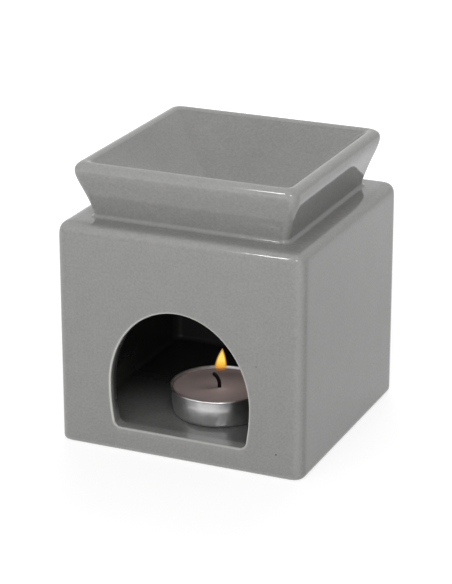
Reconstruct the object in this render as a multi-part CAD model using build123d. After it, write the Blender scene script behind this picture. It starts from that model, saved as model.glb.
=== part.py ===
from build123d import *
import os
from math import atan2, cos, pi, radians, sin

# Essential oil burner: a glazed ceramic box with an arched mouth, a square flared dish on top of it,
# and a tealight on the chamber floor. Millimetres, +Z up, the arch faces -Y.
# The origin is the middle of the footprint, on the surface that the burner stands on.

# Box casting
BOX_WIDTH = 100.0
BOX_DEPTH = 100.0
BOX_HEIGHT = 88.5
WALL = 5.0
TOP_THICKNESS = 6.0
FLOOR_THICKNESS = 5.1
FOOT_HEIGHT = 3.5
FOOT_RIM_WIDTH = 6.0
SIDE_EDGE_RADIUS = 4.8
TOP_EDGE_RADIUS = 4.7
BASE_EDGE_RADIUS = 1.6
CHAMBER_CORNER_RADIUS = 4.0
CHAMBER_EDGE_RADIUS = 2.0
FOOT_RECESS_CORNER_RADIUS = 4.0
FOOT_RECESS_EDGE_RADIUS = 1.2

# Arched mouth, a half ellipse on jambs that draw in towards the sill
ARCH_WIDTH = 57.0
ARCH_FOOT_WIDTH = 53.0
ARCH_JAMB_HEIGHT = 16.4
ARCH_RISE = 33.0
ARCH_CORNER_RADIUS = 2.2
ARCH_EDGE_RADIUS = 0.8
ARCH_INNER_EDGE_RADIUS = 1.0
SILL_LIP = 1.0

# Dish casting, luted into the open top of the box
DISH_SETBACK = 10.3
DISH_HEIGHT = 22.1
DISH_FLARE = 5.3
DISH_FLARE_SHAPE = 4.0
DISH_CORNER_RADIUS = 3.4
FOOT_FILLET = 1.2
FOOT_EDGE = 0.4
RIM_ROUND_WIDTH = 3.0
RIM_ROUND_HEIGHT = 3.1
RIM_LIP = 0.8
BOWL_EDGE = 0.3
BOWL_SHAPE = 2.2
BOWL_CORNER_RADIUS = 5.0
BOWL_ROUNDNESS = 0.54
BOWL_FLAT_SHARE = 0.12
BELLY_SETBACK = 5.7
BELLY_DROP = 6.9
BELLY_THICKNESS = 4.5
BELLY_CLEARANCE = 0.6

# Tealight cup, pressed aluminium
TEALIGHT_RIGHT = 3.0
TEALIGHT_BEHIND_FRONT = 32.0
CUP_HEIGHT = 11.4
CUP_BASE_RADIUS = 17.4
CUP_MOUTH_RADIUS = 18.4
CUP_CORNER_RADIUS = 1.8
CUP_WALL = 0.4
CUP_BEAD_RADIUS = 0.6

# Candle: wax, wick and the sustainer that holds the wick upright
WAX_HEIGHT = 8.8
WAX_CLEARANCE = 0.3
WAX_POOL_RADIUS = 9.0
WAX_POOL_DEPTH = 0.6
WICK_RADIUS = 0.8
WICK_CLEARANCE = 0.05
WICK_STRAIGHT = 2.0
WICK_BEND_RADIUS = 5.6
WICK_BEND_ANGLE = 55.0
WICK_LEAN_DIRECTION = 205.0
WICK_TIP_RADIUS = 0.5
SUSTAINER_RADIUS = 6.5
SUSTAINER_THICKNESS = 0.4
SUSTAINER_NECK_RADIUS = 1.4
SUSTAINER_NECK_HEIGHT = 4.0
SUSTAINER_CLEARANCE = 0.15

# Heights and places that follow from the sizes above
floor_z = FOOT_HEIGHT + FLOOR_THICKNESS
ceiling_z = BOX_HEIGHT - TOP_THICKNESS
sill_z = floor_z + SILL_LIP
spring_z = sill_z + ARCH_JAMB_HEIGHT
front_y = -BOX_DEPTH / 2
neck_width = BOX_WIDTH - 2 * DISH_SETBACK
neck_depth = BOX_DEPTH - 2 * DISH_SETBACK
seat_z = BOX_HEIGHT
belly_radius = min(neck_width, neck_depth) / 2 - BELLY_SETBACK
belly_sphere_radius = (belly_radius**2 + BELLY_DROP**2) / (2 * BELLY_DROP)
belly_centre_z = seat_z - BELLY_DROP + belly_sphere_radius
tealight_x = TEALIGHT_RIGHT
tealight_y = front_y + TEALIGHT_BEHIND_FRONT
cup_floor_z = floor_z + CUP_WALL

# Cuts run this far past a face, places this near are the same, a round stays this much under the
# one that it runs into, and lofts take this many sections
OVERCUT = 1.0
NEAR = 0.001
ROUND_MARGIN = 0.1
FOOT_STEPS = 4
WALL_STEPS = 5
RIM_STEPS = 4
LIP_STEPS = 2
BOWL_STEPS = 6


def rounded_slab(width, depth, radius, z_low, z_high):
    """An upright block on a rounded rectangle, from one height to another."""
    return extrude(Pos(0, 0, z_low) * RectangleRounded(width, depth, radius), z_high - z_low)


def upright_cylinder(radius, z_low, height):
    """A round bar from z_low upwards."""
    return Pos(0, 0, z_low) * Cylinder(radius, height, align=(Align.CENTER, Align.CENTER, Align.MIN))


def edges_at(part, z):
    """The edges of a part whose middles lie at one height."""
    return part.edges().filter_by_position(Axis.Z, z - NEAR, z + NEAR)


def arch_outline():
    """The mouth's outline in the XZ plane, its sill at sill_z."""
    half = ARCH_WIDTH / 2
    half_foot = ARCH_FOOT_WIDTH / 2
    crown = EllipticalCenterArc((0, spring_z), half, ARCH_RISE, start_angle=0, arc_size=180)
    left_jamb = TangentArc((-half, spring_z), (-half_foot, sill_z), tangent=(0, -1))
    sill = Line((-half_foot, sill_z), (half_foot, sill_z))
    right_jamb = TangentArc((half, spring_z), (half_foot, sill_z), tangent=(0, -1))
    outline = make_face(Curve() + [crown, left_jamb, sill, right_jamb])
    corners = outline.vertices().group_by(Axis.Y)[0]
    return fillet(corners, ARCH_CORNER_RADIUS)


def make_burner_body():
    """The box: walls, floor, top with the dish's opening, foot rim below and arch in front."""
    body = rounded_slab(BOX_WIDTH, BOX_DEPTH, SIDE_EDGE_RADIUS, 0, BOX_HEIGHT)
    largest_round = SIDE_EDGE_RADIUS - ROUND_MARGIN
    body = fillet(edges_at(body, BOX_HEIGHT), min(TOP_EDGE_RADIUS, largest_round))
    body = fillet(edges_at(body, 0), min(BASE_EDGE_RADIUS, largest_round))
    chamber = rounded_slab(
        BOX_WIDTH - 2 * WALL, BOX_DEPTH - 2 * WALL, CHAMBER_CORNER_RADIUS, floor_z, ceiling_z
    )
    chamber_ends = edges_at(chamber, floor_z) + edges_at(chamber, ceiling_z)
    chamber = fillet(chamber_ends, min(CHAMBER_EDGE_RADIUS, CHAMBER_CORNER_RADIUS - ROUND_MARGIN))
    recess_margins = 2 * (BASE_EDGE_RADIUS + FOOT_RIM_WIDTH)
    recess = rounded_slab(
        BOX_WIDTH - recess_margins, BOX_DEPTH - recess_margins, FOOT_RECESS_CORNER_RADIUS, 0, FOOT_HEIGHT
    )
    recess = fillet(edges_at(recess, FOOT_HEIGHT), FOOT_RECESS_EDGE_RADIUS)
    opening = upright_cylinder(
        belly_radius + BELLY_CLEARANCE, ceiling_z - OVERCUT, TOP_THICKNESS + 2 * OVERCUT
    )
    mouth = extrude(Plane.XZ.offset(-front_y) * arch_outline(), -(WALL + CHAMBER_EDGE_RADIUS))
    body = body - chamber - recess - opening - mouth
    inner_y = front_y + WALL
    inner_edges = body.edges().filter_by_position(Axis.Y, inner_y - NEAR, inner_y + CHAMBER_EDGE_RADIUS)
    inner_edges = inner_edges.filter_by_position(Axis.X, -ARCH_WIDTH / 2, ARCH_WIDTH / 2)
    inner_edges = inner_edges.filter_by_position(Axis.Z, sill_z - NEAR, spring_z + ARCH_RISE)
    body = fillet(inner_edges, ARCH_INNER_EDGE_RADIUS)
    front_face = body.faces().sort_by(Axis.Y)[0]
    return fillet(front_face.inner_wires()[0].edges(), ARCH_EDGE_RADIUS)


def dish_sections():
    """The dish's outside from foot to rim and over the lip, as overhang past the neck and height."""
    rim_base = DISH_HEIGHT - RIM_ROUND_HEIGHT
    lip_overhang = DISH_FLARE - RIM_ROUND_WIDTH
    lean = atan2(DISH_FLARE, rim_base - FOOT_EDGE - FOOT_FILLET)
    foot = []
    for step in range(FOOT_STEPS):
        turn = step / FOOT_STEPS * (pi / 2 + lean)
        foot.append((FOOT_FILLET * (cos(lean) - sin(turn)), FOOT_EDGE + FOOT_FILLET * (1 - cos(turn))))
    wall_base = FOOT_EDGE + FOOT_FILLET * (1 + sin(lean))
    wall = []
    for step in range(WALL_STEPS):
        rise = step / WALL_STEPS
        height = wall_base + rise * (rim_base - wall_base)
        wall.append((DISH_FLARE * (rise + rise**DISH_FLARE_SHAPE * (1 - rise)), height))
    rim = []
    for step in range(RIM_STEPS + 1):
        turn = step / RIM_STEPS * pi / 2
        rim.append(
            (lip_overhang + RIM_ROUND_WIDTH * cos(turn), rim_base + RIM_ROUND_HEIGHT * sin(turn))
        )
    lip = []
    for step in range(1, LIP_STEPS + 1):
        turn = step / LIP_STEPS * pi / 2
        lip.append((lip_overhang - RIM_LIP * sin(turn), DISH_HEIGHT - RIM_LIP * (1 - cos(turn))))
    return foot + wall + rim + lip


def dish_square(overhang, height, corner_radius):
    """A rounded square round the dish, this far out from the neck and this far above the seat."""
    outline = RectangleRounded(neck_width + 2 * overhang, neck_depth + 2 * overhang, corner_radius)
    return Pos(0, 0, seat_z + height) * outline


def make_bowl():
    """The hollow of the dish: walls that ease into a flat bottom, square at the edge and rounder below."""
    edge_overhang, edge_height = dish_sections()[-1]
    edge_width = neck_width + 2 * (edge_overhang - BOWL_EDGE)
    edge_depth = neck_depth + 2 * (edge_overhang - BOWL_EDGE)
    edge_half = min(edge_width, edge_depth) / 2
    edge_roundness = BOWL_CORNER_RADIUS / edge_half
    bottom_z = seat_z - BELLY_DROP + BELLY_THICKNESS
    bowl_drop = seat_z + edge_height - bottom_z
    sections = []
    for step in range(BOWL_STEPS + 1):
        share = 1 - (1 - BOWL_FLAT_SHARE) * step / BOWL_STEPS
        roundness = BOWL_ROUNDNESS - (BOWL_ROUNDNESS - edge_roundness) * share**4
        outline = RectangleRounded(edge_width * share, edge_depth * share, edge_half * share * roundness)
        sections.append(Pos(0, 0, bottom_z + bowl_drop * share**BOWL_SHAPE) * outline)
    return loft(sections) + extrude(sections[0], OVERCUT)


def make_oil_dish():
    """The dish: flared walls on a filleted foot, a round rim, and a belly that hangs in the opening."""
    sections = dish_sections()
    wall = loft([dish_square(*section, DISH_CORNER_RADIUS) for section in sections])
    foot_overhang = sections[0][0]
    foot = extrude(dish_square(foot_overhang, 0, DISH_CORNER_RADIUS), FOOT_EDGE)
    dish = wall + foot
    below = upright_cylinder(belly_radius, seat_z - BELLY_DROP, BELLY_DROP + FOOT_EDGE)
    belly = below & Pos(0, 0, belly_centre_z) * Sphere(belly_sphere_radius)
    return dish + belly - make_bowl()


def upright_cone(base_radius, mouth_radius, height, corner_radius, z_low):
    """A cup-shaped solid: a cone standing on its narrow end, its lower edge rounded."""
    cone = Pos(0, 0, z_low) * Cone(
        base_radius, mouth_radius, height, align=(Align.CENTER, Align.CENTER, Align.MIN)
    )
    return fillet(edges_at(cone, z_low), corner_radius)


def make_tealight_cup():
    """The pressed cup with its rolled rim, standing on the chamber floor."""
    wall_height = CUP_HEIGHT - CUP_BEAD_RADIUS
    spread = CUP_MOUTH_RADIUS - CUP_BASE_RADIUS
    outside = upright_cone(
        CUP_BASE_RADIUS, CUP_MOUTH_RADIUS, wall_height, CUP_CORNER_RADIUS, floor_z
    )
    inside = upright_cone(
        CUP_BASE_RADIUS - CUP_WALL,
        CUP_MOUTH_RADIUS - CUP_WALL + spread * OVERCUT / wall_height,
        wall_height + OVERCUT,
        CUP_CORNER_RADIUS - CUP_WALL,
        cup_floor_z,
    )
    bead = Pos(0, 0, floor_z + wall_height) * Torus(
        CUP_MOUTH_RADIUS - CUP_WALL / 2 + CUP_BEAD_RADIUS, CUP_BEAD_RADIUS
    )
    return outside + bead - inside


def make_tealight_wax():
    """The candle's wax, dished round the wick and hollowed below for the sustainer."""
    gap = CUP_WALL + WAX_CLEARANCE
    spread = (CUP_MOUTH_RADIUS - CUP_BASE_RADIUS) * WAX_HEIGHT / (CUP_HEIGHT - CUP_BEAD_RADIUS)
    wax = upright_cone(
        CUP_BASE_RADIUS - gap,
        CUP_BASE_RADIUS - gap + spread,
        WAX_HEIGHT,
        CUP_CORNER_RADIUS,
        cup_floor_z,
    )
    pool_radius = (WAX_POOL_RADIUS**2 + WAX_POOL_DEPTH**2) / (2 * WAX_POOL_DEPTH)
    pool = Pos(0, 0, cup_floor_z + WAX_HEIGHT - WAX_POOL_DEPTH + pool_radius) * Sphere(pool_radius)
    tab_space = upright_cylinder(
        SUSTAINER_RADIUS + SUSTAINER_CLEARANCE,
        cup_floor_z,
        SUSTAINER_THICKNESS + SUSTAINER_CLEARANCE,
    )
    neck_space = upright_cylinder(
        SUSTAINER_NECK_RADIUS + SUSTAINER_CLEARANCE,
        cup_floor_z,
        SUSTAINER_THICKNESS + SUSTAINER_NECK_HEIGHT + SUSTAINER_CLEARANCE,
    )
    wick_space = upright_cylinder(WICK_RADIUS + WICK_CLEARANCE, cup_floor_z, WAX_HEIGHT)
    return wax - pool - tab_space - neck_space - wick_space


def make_wick_sustainer():
    """The steel tab on the cup's floor, with the neck that grips the wick."""
    tab = upright_cylinder(SUSTAINER_RADIUS, cup_floor_z, SUSTAINER_THICKNESS)
    neck_z = cup_floor_z + SUSTAINER_THICKNESS
    neck = upright_cylinder(SUSTAINER_NECK_RADIUS, neck_z, SUSTAINER_NECK_HEIGHT)
    bore = upright_cylinder(WICK_RADIUS + WICK_CLEARANCE, neck_z, SUSTAINER_NECK_HEIGHT)
    return tab + neck - bore


def make_tealight_wick():
    """The wick, upright from the sustainer through the wax and bent over above it."""
    foot = Vector(0, 0, cup_floor_z + SUSTAINER_THICKNESS)
    bend = Vector(0, 0, cup_floor_z + WAX_HEIGHT - WAX_POOL_DEPTH + WICK_STRAIGHT)
    lean = radians(WICK_LEAN_DIRECTION)

    def on_bend(turn):
        out = WICK_BEND_RADIUS * (1 - cos(turn))
        return bend + Vector(out * cos(lean), out * sin(lean), WICK_BEND_RADIUS * sin(turn))

    whole_turn = radians(WICK_BEND_ANGLE)
    path = Wire([Line(foot, bend), ThreePointArc(bend, on_bend(whole_turn / 2), on_bend(whole_turn))])
    wick = sweep(Pos(*foot) * Circle(WICK_RADIUS), path=path)
    tip = wick.faces().sort_by(Axis.Z)[-1]
    return fillet(tip.edges(), WICK_TIP_RADIUS)


os.makedirs("parts", exist_ok=True)
in_chamber = Pos(tealight_x, tealight_y, 0)
nodes = {
    "burner_body": make_burner_body(),
    "oil_dish": make_oil_dish(),
    "tealight_cup": in_chamber * make_tealight_cup(),
    "tealight_wax": in_chamber * make_tealight_wax(),
    "tealight_wick": in_chamber * make_tealight_wick(),
    "wick_sustainer": in_chamber * make_wick_sustainer(),
}
for name, part in nodes.items():
    export_step(part, f"parts/{name}.step")
    print(name, "volume", round(part.volume, 1), "solids", len(part.solids()))
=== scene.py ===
# %% [markdown]
# # An essential oil burner
# The object is a square box of grey glazed ceramic with an arched mouth, a flared dish on top of it
# for water and oil, and a lit tealight on the floor inside. The measured solids come in as a fixed
# frame. Each one that shows is modelled again here by hand, with its soft edges and its finish.
# Everything is in metres, in the frame of the solids: +Z is up, the arch faces -Y, the table is Z = 0.

# %% Load the measured frame
from math import atan2, cos, hypot, pi, radians, sin, sqrt

import bmesh
import bpy
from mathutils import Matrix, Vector


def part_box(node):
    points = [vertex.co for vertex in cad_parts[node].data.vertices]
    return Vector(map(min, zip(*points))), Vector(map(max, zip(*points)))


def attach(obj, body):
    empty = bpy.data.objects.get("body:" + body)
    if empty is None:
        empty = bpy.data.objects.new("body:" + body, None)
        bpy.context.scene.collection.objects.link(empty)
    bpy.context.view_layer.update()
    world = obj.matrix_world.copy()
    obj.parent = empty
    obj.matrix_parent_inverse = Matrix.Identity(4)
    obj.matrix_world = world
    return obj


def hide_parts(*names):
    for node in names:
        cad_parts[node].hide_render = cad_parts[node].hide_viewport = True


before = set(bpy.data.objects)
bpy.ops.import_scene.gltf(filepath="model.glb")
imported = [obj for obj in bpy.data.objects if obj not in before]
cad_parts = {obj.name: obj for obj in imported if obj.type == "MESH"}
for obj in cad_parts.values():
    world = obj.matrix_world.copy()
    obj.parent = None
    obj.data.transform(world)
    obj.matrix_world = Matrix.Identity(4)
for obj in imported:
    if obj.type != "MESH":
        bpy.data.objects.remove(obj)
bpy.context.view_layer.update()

MM = 0.001

# %% [markdown]
# ## The camera
# The camera comes first, because every later choice is judged through it. Its angle, distance and
# lens were found by fitting the object's outline in the photograph. A long lens stands about
# 0.9 m away, 24 degrees to the right of the arch and 20 degrees above the table.

# %% Camera
AIM = Vector((0.0, 0.0, 55 * MM))
AZIMUTH = radians(23.642)
ELEVATION = radians(20.046)
DISTANCE = 876.8 * MM
FRAME_HEIGHT = 584
OFF_CENTRE_RIGHT = 4.987
OFF_CENTRE_UP = 9.699


def direction(azimuth, elevation):
    """A unit vector from the object: azimuth 0 is the arch's side, and it turns towards +X."""
    level = cos(elevation)
    return Vector((sin(azimuth) * level, -cos(azimuth) * level, sin(elevation)))


bpy.ops.object.select_all(action="DESELECT")
towards_camera = direction(AZIMUTH, ELEVATION)
bpy.ops.object.camera_add(
    location=AIM + DISTANCE * towards_camera,
    rotation=towards_camera.to_track_quat("Z", "Y").to_euler(),
)
camera = bpy.context.object
camera.data.sensor_fit = "VERTICAL"
camera.data.sensor_height = 36.0
camera.data.lens = 139.21
camera.data.shift_x = -OFF_CENTRE_RIGHT / FRAME_HEIGHT
camera.data.shift_y = -OFF_CENTRE_UP / FRAME_HEIGHT
bpy.context.scene.camera = camera
print("camera at", [round(c, 4) for c in camera.location])

# %% [markdown]
# ## Five hand tools
# Modelling operators act on whatever is selected, so each step begins by selecting the right edges.
# Doing that by place, in code, keeps the steps repeatable. These helpers open one object for editing,
# pick edges by their two ends, round them, add a block, and carve one shape out of another.

# %% Hand tools
def edit(piece):
    """Opens one object, and no other, in edit mode with nothing selected."""
    bpy.ops.object.select_all(action="DESELECT")
    piece.select_set(True)
    bpy.context.view_layer.objects.active = piece
    bpy.ops.object.mode_set(mode="EDIT")
    bpy.ops.mesh.select_mode(type="EDGE")
    bpy.ops.mesh.select_all(action="DESELECT")


def pick_edges(test):
    """Selects the edges whose two end points pass the test, and returns how many there are."""
    bpy.ops.mesh.select_all(action="DESELECT")
    mesh = bpy.context.object.data
    shell = bmesh.from_edit_mesh(mesh)
    chosen = [edge for edge in shell.edges if test(edge.verts[0].co, edge.verts[1].co)]
    for edge in chosen:
        edge.select_set(True)
    bmesh.update_edit_mesh(mesh)
    return len(chosen)


def round_edges(test, radius, steps, fullness=0.5):
    """Rounds the edges that pass the test. Fullness 0.5 is a quarter circle, and more is tighter."""
    count = pick_edges(test)
    bpy.ops.mesh.bevel(offset=radius, segments=steps, profile=fullness, affect="EDGES", clamp_overlap=True)
    return count


def add_block(name, low, high):
    """Adds a cube between two corners, with its place in its mesh."""
    bpy.ops.object.select_all(action="DESELECT")
    middle = (Vector(low) + Vector(high)) / 2
    bpy.ops.mesh.primitive_cube_add(size=1, location=middle, scale=Vector(high) - Vector(low))
    bpy.ops.object.transform_apply(location=True, rotation=True, scale=True)
    block = bpy.context.object
    block.name = name
    return block


def carve(piece, cutter):
    """Cuts one object's shape out of another and throws the cutter away."""
    bpy.ops.object.select_all(action="DESELECT")
    piece.select_set(True)
    bpy.context.view_layer.objects.active = piece
    bpy.ops.object.modifier_add(type="BOOLEAN")
    cut = piece.modifiers[-1]
    cut.operation = "DIFFERENCE"
    cut.solver = "EXACT"
    cut.object = cutter
    bpy.ops.object.modifier_apply(modifier=cut.name)
    bpy.data.objects.remove(cutter)


# %% [markdown]
# ## The box
# The box is slip-cast: plaster moulds leave generous rounds on every outer edge, and the glaze softens
# them further. It could be grown from a plane, but a cube with bevelled edges is quicker and keeps its
# big faces truly flat, so that they mirror the surroundings without dents. All the upper edges are
# rounded in one bevel, because then the three rounds blend into a ball at each corner. The rounds are
# fuller than a quarter circle: easy at their ends and tight in the middle, where they catch a thin line
# of light.

# %% Box, outside
box_low, box_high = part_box("burner_body")
BOX_TOP = box_high[2]
EDGE_ROUND = 6.5 * MM
BASE_ROUND = 2.2 * MM
EDGE_STEPS = 14
BASE_STEPS = 6
FULLNESS = 0.63
HAIR = 0.01 * MM

box = add_block("glazed_box", box_low, box_high)
edit(box)
round_edges(lambda a, b: a.z + b.z > BOX_TOP / 2, EDGE_ROUND, EDGE_STEPS, FULLNESS)
round_edges(lambda a, b: max(a.z, b.z) < HAIR, BASE_ROUND, BASE_STEPS, FULLNESS)
bpy.ops.object.mode_set(mode="OBJECT")
print("box outside:", len(box.data.polygons), "faces")

# %% [markdown]
# ## The hollow and the foot
# Slip-casting leaves a wall of even thickness, so the chamber is the box again, 5 mm smaller all round,
# with tight rounds where the walls meet the floor. Underneath, a shallow recess leaves a foot rim to
# stand on. Both are cut with booleans: the cutters get their rounds first, because bevels on a clean
# block never fail.

# %% Box, hollow
WALL = 5.0 * MM
FLOOR_Z = 8.6 * MM
CEILING_Z = 82.5 * MM
FOOT_RIM = 7.6 * MM
FOOT_DEPTH = 3.5 * MM
CHAMBER_CORNER = 4.0 * MM
CHAMBER_FILLET = 2.0 * MM
RECESS_FILLET = 1.2 * MM
CORNER_STEPS = 6
PAST = 1.0 * MM


def upright(a, b):
    """True for an edge that stands on end."""
    return abs(a.z - b.z) > HAIR and hypot(a.x - b.x, a.y - b.y) < HAIR


inner = box_high[0] - WALL
hollow = add_block("hollow", (-inner, -inner, FLOOR_Z), (inner, inner, CEILING_Z))
edit(hollow)
round_edges(upright, CHAMBER_CORNER, CORNER_STEPS)
round_edges(lambda a, b: abs(a.z - b.z) < HAIR, CHAMBER_FILLET, 4)
bpy.ops.object.mode_set(mode="OBJECT")
carve(box, hollow)

foot = box_high[0] - FOOT_RIM
recess = add_block("recess", (-foot, -foot, -PAST), (foot, foot, FOOT_DEPTH))
edit(recess)
round_edges(upright, CHAMBER_CORNER, CORNER_STEPS)
round_edges(lambda a, b: min(a.z, b.z) > FOOT_DEPTH - HAIR, RECESS_FILLET, 3)
bpy.ops.object.mode_set(mode="OBJECT")
carve(box, recess)
print("box hollowed:", len(box.data.polygons), "faces")

# %% [markdown]
# ## The hole for the dish's belly
# A round hole in the box's top takes the belly of the dish and lets the flame's heat reach it. A cylinder
# that stands out past both faces cuts it cleanly.

# %% Box, hole in the top
BELLY_HOLE = 34.6 * MM

bpy.ops.object.select_all(action="DESELECT")
bpy.ops.mesh.primitive_cylinder_add(
    vertices=96,
    radius=BELLY_HOLE,
    depth=BOX_TOP - CEILING_Z + 2 * PAST,
    location=(0, 0, (BOX_TOP + CEILING_Z) / 2),
)
carve(box, bpy.context.object)
print("hole in the top:", round(2 * BELLY_HOLE / MM, 1), "mm across")

# %% [markdown]
# ## The arched mouth
# The mouth is a tall half ellipse on short jambs that draw in a little towards the sill. The outline
# starts as a circle: its lower half is deleted, and the upper half is stretched to the ellipse. Fired clay
# is never quite true: in the photograph the mouth sits a little to one side and leans by a hair.

# %% Arch, outline
SILL_Z = 9.6 * MM
ARCH_HALF = 28.4 * MM
ARCH_FOOT_HALF = 26.7 * MM
ARCH_RISE = 32.8 * MM
ARCH_ASIDE = 0.5 * MM
ARCH_LEAN = 0.9 * MM
JAMB = 16.4 * MM
front_y = box_low[1]
spring_z = SILL_Z + JAMB

bpy.ops.object.select_all(action="DESELECT")
bpy.ops.mesh.primitive_circle_add(
    vertices=128,
    radius=ARCH_HALF,
    location=(ARCH_ASIDE, front_y - PAST, spring_z),
    rotation=(pi / 2, 0, 0),
)
bpy.ops.object.transform_apply(location=True, rotation=True, scale=True)
arch = bpy.context.object
arch.name = "arch"
edit(arch)
pick_edges(lambda a, b: min(a.z, b.z) < spring_z - HAIR)
bpy.ops.mesh.delete(type="EDGE")
bpy.ops.mesh.select_mode(type="VERT")
bpy.ops.mesh.select_all(action="SELECT")
bpy.ops.transform.resize(value=(1, 1, ARCH_RISE / ARCH_HALF), center_override=(0, 0, spring_z))
for vertex in bmesh.from_edit_mesh(arch.data).verts:
    vertex.co.x -= ARCH_LEAN * (vertex.co.z - spring_z) / ARCH_RISE
bmesh.update_edit_mesh(arch.data)
print("arch outline:", len(arch.data.vertices), "points before its jambs")

# %% [markdown]
# ## The jambs and the cut
# The outline's two open ends are extruded down step by step and drawn in at each step. Rounded sill
# corners, a face and an extrusion then make the cutter, which is carved out of the front wall.

# %% Arch, jambs and cut
JAMB_STEPS = 5
SILL_CORNER = 2.2 * MM

half_now = ARCH_HALF
for step in range(1, JAMB_STEPS + 1):
    bpy.ops.mesh.select_all(action="DESELECT")
    shell = bmesh.from_edit_mesh(arch.data)
    for vertex in shell.verts:
        vertex.select_set(len(vertex.link_edges) == 1)
    bmesh.update_edit_mesh(arch.data)
    half_next = ARCH_HALF - (ARCH_HALF - ARCH_FOOT_HALF) * (step / JAMB_STEPS) ** 2
    bpy.ops.mesh.extrude_region_move(TRANSFORM_OT_translate={"value": (0, 0, -JAMB / JAMB_STEPS)})
    bpy.ops.transform.resize(value=(half_next / half_now, 1, 1), center_override=(ARCH_ASIDE, 0, 0))
    half_now = half_next
bpy.ops.mesh.edge_face_add()
bpy.ops.mesh.bevel(offset=SILL_CORNER, segments=6, affect="VERTICES", clamp_overlap=True)
bpy.ops.mesh.select_all(action="SELECT")
bpy.ops.mesh.edge_face_add()
bpy.ops.mesh.select_all(action="SELECT")
bpy.ops.mesh.extrude_region_move(TRANSFORM_OT_translate={"value": (0, WALL + 3 * PAST, 0)})
bpy.ops.mesh.select_all(action="SELECT")
bpy.ops.mesh.normals_make_consistent(inside=False)
bpy.ops.object.mode_set(mode="OBJECT")
carve(box, arch)
print("box with its mouth:", len(box.data.polygons), "faces")

# %% [markdown]
# ## Soft edges round the mouth
# A wet sponge takes the sharpness off the cut, and the glaze runs thin there. The cut's edges are found by
# their place, in front and on the chamber's side, and each gets a small bevel.

# %% Arch, soft edges
ARCH_SOFT = 0.8 * MM
ARCH_SOFT_BACK = 0.85 * MM
SOFT_STEPS = 4

edit(box)
arch_reach = ARCH_HALF + ARCH_LEAN
arch_top = spring_z + ARCH_RISE + HAIR


def in_arch(point):
    """True for a point that lies on the mouth's outline, or inside it."""
    return abs(point.x - ARCH_ASIDE) < arch_reach and SILL_Z - HAIR < point.z < arch_top


def front_of_arch(a, b):
    """True for an edge round the mouth, on the front face."""
    return max(a.y, b.y) < front_y + HAIR and in_arch(a) and in_arch(b)


def back_of_arch(a, b):
    """True for an edge round the mouth, on the chamber's side."""
    low, high = front_y + WALL - HAIR, front_y + WALL + 0.5 * MM
    return low < a.y < high and low < b.y < high and in_arch(a) and in_arch(b)


print("arch edges, front:", round_edges(front_of_arch, ARCH_SOFT, SOFT_STEPS))
print("arch edges, back:", round_edges(back_of_arch, ARCH_SOFT_BACK, SOFT_STEPS))
bpy.ops.mesh.select_all(action="SELECT")
bpy.ops.mesh.remove_doubles(threshold=HAIR / 10)

# %% [markdown]
# ## Holding loops
# The big outer faces are single polygons. Whatever is stored at their corners, such as a shade or a mask,
# would bleed right across them. An inset lays a narrow border just inside each face, which holds the
# bleeding to the border.

# %% Box, holding loops
BORDER = 1.2 * MM
LARGE_FACE = 100 * MM**2


def on_outside(face):
    """True for a large face that lies in one of the box's outer planes."""
    place = face.calc_center_median()
    return face.calc_area() > LARGE_FACE and (
        max(abs(place.x), abs(place.y)) > box_high[0] - HAIR or place.z > BOX_TOP - HAIR
    )


def pick_faces(test):
    """Selects the faces that pass the test, and returns how many there are."""
    bpy.ops.mesh.select_mode(type="FACE")
    bpy.ops.mesh.select_all(action="DESELECT")
    mesh = bpy.context.object.data
    shell = bmesh.from_edit_mesh(mesh)
    chosen = [face for face in shell.faces if test(face)]
    for face in chosen:
        face.select_set(True)
    bmesh.update_edit_mesh(mesh)
    return len(chosen)


print("faces with a border:", pick_faces(on_outside))
bpy.ops.mesh.inset(thickness=BORDER, depth=0, use_even_offset=True)
bpy.ops.object.mode_set(mode="OBJECT")

# %% [markdown]
# ## The dish
# The dish is a second casting, stuck on the box before glazing, so that a hollow curve of glaze runs
# round its foot. Its outline is a square with rounded corners at every height. That calls for one loop
# of edges, extruded up a profile ring by ring and resized at each step. A subdivided cube would never
# follow the flare so exactly. First comes the profile: up the foot's curve, the leaning wall and the
# round rim, and over the lip until it meets the slope of the bowl.

# %% Dish, profile
NECK_HALF = 39.7 * MM
SEAT_Z = BOX_TOP
DISH_HEIGHT = 22.1 * MM
FLARE = 5.3 * MM
FOOT_CURVE = 1.6 * MM
RIM_WIDE = 3.0 * MM
RIM_TALL = 3.1 * MM
LIP = 2.4 * MM
LIP_TURN = radians(52)
SUNK = 0.05 * MM
CURVE_STEPS = 9
WALL_STEPS = 16
RIM_STEPS = 10
LIP_STEPS = 7


def dish_profile():
    """The outside of the dish from its foot to its lip, as reach past the neck and height."""
    profile = []
    rim_base = DISH_HEIGHT - RIM_TALL
    lean = atan2(FLARE, rim_base - FOOT_CURVE)
    for step in range(CURVE_STEPS):
        turn = step / CURVE_STEPS * (pi / 2 + lean)
        profile.append((FOOT_CURVE * (cos(lean) - sin(turn)), FOOT_CURVE * (1 - cos(turn)) - SUNK))
    wall_base = FOOT_CURVE * (1 + sin(lean)) - SUNK
    for step in range(WALL_STEPS):
        rise = step / WALL_STEPS
        reach = FLARE * (rise + rise**4 * (1 - rise))
        profile.append((reach, wall_base + rise * (rim_base - wall_base)))
    for step in range(RIM_STEPS + 1):
        turn = step / RIM_STEPS * pi / 2
        profile.append((FLARE - RIM_WIDE * (1 - cos(turn)), rim_base + RIM_TALL * sin(turn)))
    crest = FLARE - RIM_WIDE
    for step in range(1, LIP_STEPS + 1):
        turn = step / LIP_STEPS * LIP_TURN
        profile.append((crest - LIP * sin(turn), DISH_HEIGHT - LIP * (1 - cos(turn))))
    return profile


profile = dish_profile()
print("dish profile:", len(profile), "points")

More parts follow.
